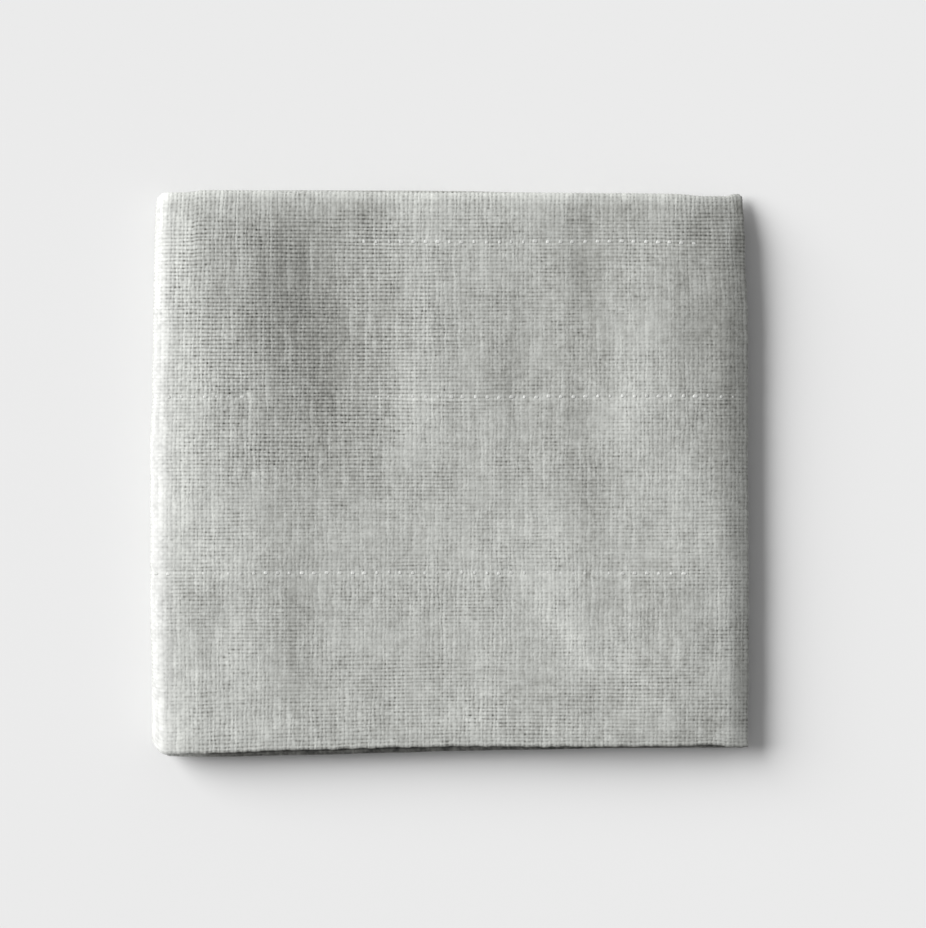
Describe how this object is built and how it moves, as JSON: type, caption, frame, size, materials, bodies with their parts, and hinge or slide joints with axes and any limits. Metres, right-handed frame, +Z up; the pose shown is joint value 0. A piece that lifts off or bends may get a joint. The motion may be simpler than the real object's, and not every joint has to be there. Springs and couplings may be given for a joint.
{
  "type": "folded dishcloth",
  "caption": "Quilted plain-weave dishcloth folded back and forth in thirds and then in half, lying flat with a thick rounded fold on one side and open edges on the other.",
  "frame": {"origin": "bottom centre of the folded cloth's box, on the surface that it lies on", "axes": "+Z up; +X towards the open side edges, away from the thick half fold; +Y towards the back, where the fold between the upper two layers lies"},
  "size_m": [0.1472, 0.1394, 0.0092],
  "materials": {
    "grey_cloth": "matte, open plain weave of uneven yarns"
  },
  "bodies": {
    "root": {"folded_dishcloth": "grey_cloth"}
  },
  "joints": []
}
